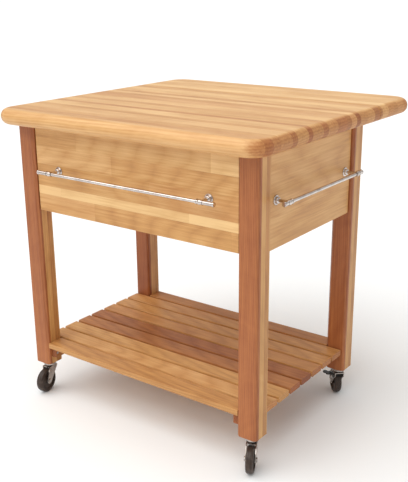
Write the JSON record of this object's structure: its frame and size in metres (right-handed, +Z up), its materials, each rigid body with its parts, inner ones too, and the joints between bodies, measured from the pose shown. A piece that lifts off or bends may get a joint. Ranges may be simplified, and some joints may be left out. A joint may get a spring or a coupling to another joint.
{
  "type": "butcher block kitchen work table",
  "caption": "Wheeled kitchen work table with a thick edge-glued wood top, rear drop leaf, deep drawer, towel bars and a slatted lower shelf.",
  "frame": {"origin": "centre of the bounding box's footprint, at floor level", "axes": "+X to the table's right seen from the drawer side, -Y to the drawer side, +Y to the drop leaf, +Z up"},
  "size_m": [0.904, 0.866, 0.902],
  "materials": {
    "top": "oiled satin",
    "leaf": "oiled satin",
    "leg": "oiled satin",
    "panel": "oiled satin",
    "inner_wood": "planed, unfinished",
    "shelf_wood": "oiled satin",
    "bar_chrome": "polished",
    "slide_steel": "zinc plated",
    "hinge_steel": "zinc plated",
    "screw_steel": "zinc plated",
    "caster_steel": "bright zinc plated",
    "wheel_rubber": "satin",
    "brake_black": "moulded"
  },
  "bodies": {
    "table": {"top_slab": "top", "leg_front_left": "leg", "leg_front_right": "leg", "leg_rear_left": "leg", "leg_rear_right": "leg", "side_apron_left": "panel", "side_apron_right": "panel", "back_apron": "panel", "front_rail": "inner_wood", "top_cleats": "inner_wood", "frame_screws": "screw_steel", "slide_spacer_left": "inner_wood", "slide_spacer_right": "inner_wood", "slide_outer_left": "slide_steel", "slide_outer_right": "slide_steel", "side_bar": "bar_chrome", "side_bar_post_front": "bar_chrome", "side_bar_post_rear": "bar_chrome", "side_bar_screws": "screw_steel", "shelf_slats": "shelf_wood", "shelf_end_slats": "shelf_wood", "shelf_bearer_left": "shelf_wood", "shelf_bearer_right": "shelf_wood", "shelf_screws": "screw_steel", "hinge_brackets": "hinge_steel", "hinge_bracket_screws": "screw_steel", "hinge_pins": "hinge_steel", "caster_sockets": "caster_steel", "caster_stems": "caster_steel"},
    "drawer": {"drawer_front": "panel", "drawer_side_left": "inner_wood", "drawer_side_right": "inner_wood", "drawer_back": "inner_wood", "drawer_bottom": "inner_wood", "drawer_screws": "screw_steel", "slide_inner_left": "slide_steel", "slide_inner_right": "slide_steel", "front_bar": "bar_chrome", "front_bar_post_left": "bar_chrome", "front_bar_post_right": "bar_chrome", "front_bar_screws": "screw_steel"},
    "slide_left": {"slide_middle_left": "slide_steel"},
    "slide_right": {"slide_middle_right": "slide_steel"},
    "leaf": {"drop_leaf": "leaf", "hinge_leaf_arms": "hinge_steel", "hinge_leaf_screws": "screw_steel"},
    "caster_front_left": {"caster_fork_front_left": "caster_steel", "caster_axle_front_left": "caster_steel"},
    "wheel_front_left": {"caster_wheel_front_left": "wheel_rubber"},
    "caster_front_right": {"caster_fork_front_right": "caster_steel", "caster_axle_front_right": "caster_steel"},
    "wheel_front_right": {"caster_wheel_front_right": "wheel_rubber"},
    "caster_rear_left": {"caster_fork_rear_left": "caster_steel", "caster_axle_rear_left": "caster_steel"},
    "wheel_rear_left": {"caster_wheel_rear_left": "wheel_rubber"},
    "brake_rear_left": {"brake_lever_rear_left": "brake_black"},
    "caster_rear_right": {"caster_fork_rear_right": "caster_steel", "caster_axle_rear_right": "caster_steel"},
    "wheel_rear_right": {"caster_wheel_rear_right": "wheel_rubber"},
    "brake_rear_right": {"brake_lever_rear_right": "brake_black"}
  },
  "joints": [
    {"name": "drawer_slide", "type": "slide", "parent": "table", "child": "drawer", "axis": [0, -1, 0], "range_m": [0, 0.4]},
    {"name": "slide_left_travel", "type": "slide", "parent": "table", "child": "slide_left", "axis": [0, -1, 0], "range_m": [0, 0.2]},
    {"name": "slide_right_travel", "type": "slide", "parent": "table", "child": "slide_right", "axis": [0, -1, 0], "range_m": [0, 0.2]},
    {"name": "leaf_hinge", "type": "hinge", "parent": "table", "child": "leaf", "pos_m": [0, 0.199, 0.852], "axis": [-1, 0, 0], "range_deg": [0, 90]},
    {"name": "caster_swivel_front_left", "type": "hinge", "parent": "table", "child": "caster_front_left", "pos_m": [-0.384, -0.345, 0.086], "axis": [0, 0, 1], "continuous": true},
    {"name": "wheel_spin_front_left", "type": "hinge", "parent": "caster_front_left", "child": "wheel_front_left", "pos_m": [-0.38066, -0.36877, 0.0375], "axis": [0.9903, 0.1392, 0], "continuous": true},
    {"name": "caster_swivel_front_right", "type": "hinge", "parent": "table", "child": "caster_front_right", "pos_m": [0.384, -0.345, 0.086], "axis": [0, 0, 1], "continuous": true},
    {"name": "wheel_spin_front_right", "type": "hinge", "parent": "caster_front_right", "child": "wheel_front_right", "pos_m": [0.39414, -0.36675, 0.0375], "axis": [0.9063, 0.4226, 0], "continuous": true},
    {"name": "caster_swivel_rear_left", "type": "hinge", "parent": "table", "child": "caster_rear_left", "pos_m": [-0.384, 0.145, 0.086], "axis": [0, 0, 1], "continuous": true},
    {"name": "wheel_spin_rear_left", "type": "hinge", "parent": "caster_rear_left", "child": "wheel_rear_left", "pos_m": [-0.39299, 0.16725, 0.0375], "axis": [-0.9272, -0.3746, 0], "continuous": true},
    {"name": "brake_rear_left", "type": "hinge", "parent": "caster_rear_left", "child": "brake_rear_left", "pos_m": [-0.38175, 0.13944, 0.069], "axis": [-0.9272, -0.3746, 0], "range_deg": [0, 18]},
    {"name": "caster_swivel_rear_right", "type": "hinge", "parent": "table", "child": "caster_rear_right", "pos_m": [0.384, 0.145, 0.086], "axis": [0, 0, 1], "continuous": true},
    {"name": "wheel_spin_rear_right", "type": "hinge", "parent": "caster_rear_right", "child": "wheel_rear_right", "pos_m": [0.36763, 0.16255, 0.0375], "axis": [-0.7314, -0.682, 0], "continuous": true},
    {"name": "brake_rear_right", "type": "hinge", "parent": "caster_rear_right", "child": "brake_rear_right", "pos_m": [0.38809, 0.14061, 0.069], "axis": [-0.7314, -0.682, 0], "range_deg": [0, 18]}
  ],
  "couplings": [
    {"joint": "slide_left_travel", "follows": "drawer_slide", "ratio": 0.5},
    {"joint": "slide_right_travel", "follows": "drawer_slide", "ratio": 0.5}
  ]
}
